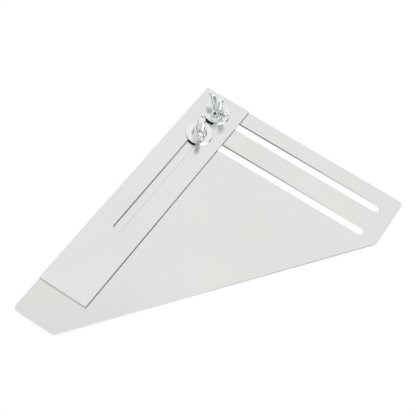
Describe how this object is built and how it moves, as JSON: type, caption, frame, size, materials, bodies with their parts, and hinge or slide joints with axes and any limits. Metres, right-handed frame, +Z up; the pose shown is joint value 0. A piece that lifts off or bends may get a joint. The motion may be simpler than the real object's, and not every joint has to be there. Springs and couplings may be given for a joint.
{
  "type": "angle finder",
  "caption": "Flat steel angle finder: a slotted arm clamped by bolts, washers and wing nuts to a slotted base plate, so the arm slides and swings to an angle.",
  "frame": {"origin": "under the middle of the base plate, level with the undersides of the bolt heads", "axes": "+X along the slotted edge, away from the arm; +Y along the long square edge towards the square corner; +Z up, from the base plate towards the wing nuts"},
  "size_m": [0.228, 0.318, 0.0294],
  "materials": {
    "plate_steel": "fine satin rolled steel sheet, edges broken",
    "bright_zinc": "bright zinc plate, slightly blue"
  },
  "bodies": {
    "base": {"base_plate": "plate_steel"},
    "upper_clamp": {"upper_bolt": "bright_zinc"},
    "swing_pivot": {"upper_washer": "bright_zinc"},
    "arm": {"arm": "plate_steel"},
    "lower_clamp": {"lower_bolt": "bright_zinc", "lower_washer": "bright_zinc"},
    "upper_nut": {"upper_wing_nut": "bright_zinc"},
    "lower_nut": {"lower_wing_nut": "bright_zinc"}
  },
  "joints": [
    {"name": "arm_slide", "type": "slide", "parent": "base", "child": "upper_clamp", "axis": [1, 0, 0], "range_m": [0, 0.157]},
    {"name": "arm_swing", "type": "hinge", "parent": "upper_clamp", "child": "swing_pivot", "pos_m": [-0.089, 0.1364, 0.0084], "axis": [0, 0, 1], "range_deg": [-3.5, 36]},
    {"name": "arm_extend", "type": "slide", "parent": "swing_pivot", "child": "arm", "axis": [0, 1, 0], "range_m": [-0.0028, 0.131]},
    {"name": "lower_bolt_slide", "type": "slide", "parent": "upper_clamp", "child": "lower_clamp", "axis": [1, 0, 0], "range_m": [-0.0024, 0.0231]},
    {"name": "upper_nut_turn", "type": "hinge", "parent": "upper_clamp", "child": "upper_nut", "pos_m": [-0.089, 0.1364, 0.01], "axis": [0, 0, 1], "continuous": true},
    {"name": "lower_nut_turn", "type": "hinge", "parent": "lower_clamp", "child": "lower_nut", "pos_m": [-0.089, 0.1035, 0.01], "axis": [0, 0, 1], "continuous": true}
  ],
  "couplings": [
    {"joint": "lower_bolt_slide", "follows": "arm_swing", "m_per_rad": 0.03655}
  ]
}
